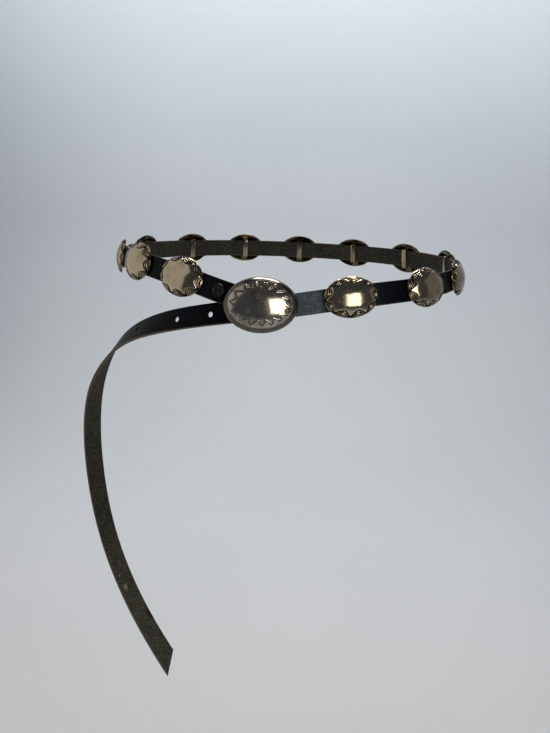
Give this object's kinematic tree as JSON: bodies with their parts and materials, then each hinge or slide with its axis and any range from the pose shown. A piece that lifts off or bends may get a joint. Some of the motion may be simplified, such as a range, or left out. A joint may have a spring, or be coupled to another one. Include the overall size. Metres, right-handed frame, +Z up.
{
  "type": "concho belt",
  "caption": "Narrow leather strap threaded through oval stamped metal domes, closed round the waist by a domed hook buckle, with a long free end that rolls and hangs.",
  "frame": {"origin": "centre of the waist that the belt goes round, level with the belt's sides", "axes": "+Z up the wearer, -Y out of the front where the buckle sits, +X to the right of someone who faces the buckle"},
  "size_m": [0.3262, 0.2488, 0.3595],
  "materials": {
    "strap": "black smooth-grain leather strap, greyish suede flesh side, grey-brown cut edges",
    "buckle": "pressed nickel silver, polished and darkened in its stamped lines, a little red tarnish",
    "concho": "pressed nickel silver, aged and darkened in its stamped lines, finely pitted",
    "snap": "black oxidised steel, embossed"
  },
  "bodies": {
    "root": {"strap": "strap", "buckle": "buckle", "snap": "snap", "concho_01": "concho", "concho_02": "concho", "concho_03": "concho", "concho_04": "concho", "concho_05": "concho", "concho_06": "concho", "concho_07": "concho", "concho_08": "concho", "concho_09": "concho", "concho_10": "concho", "concho_11": "concho", "concho_12": "concho", "concho_13": "concho"}
  },
  "joints": []
}
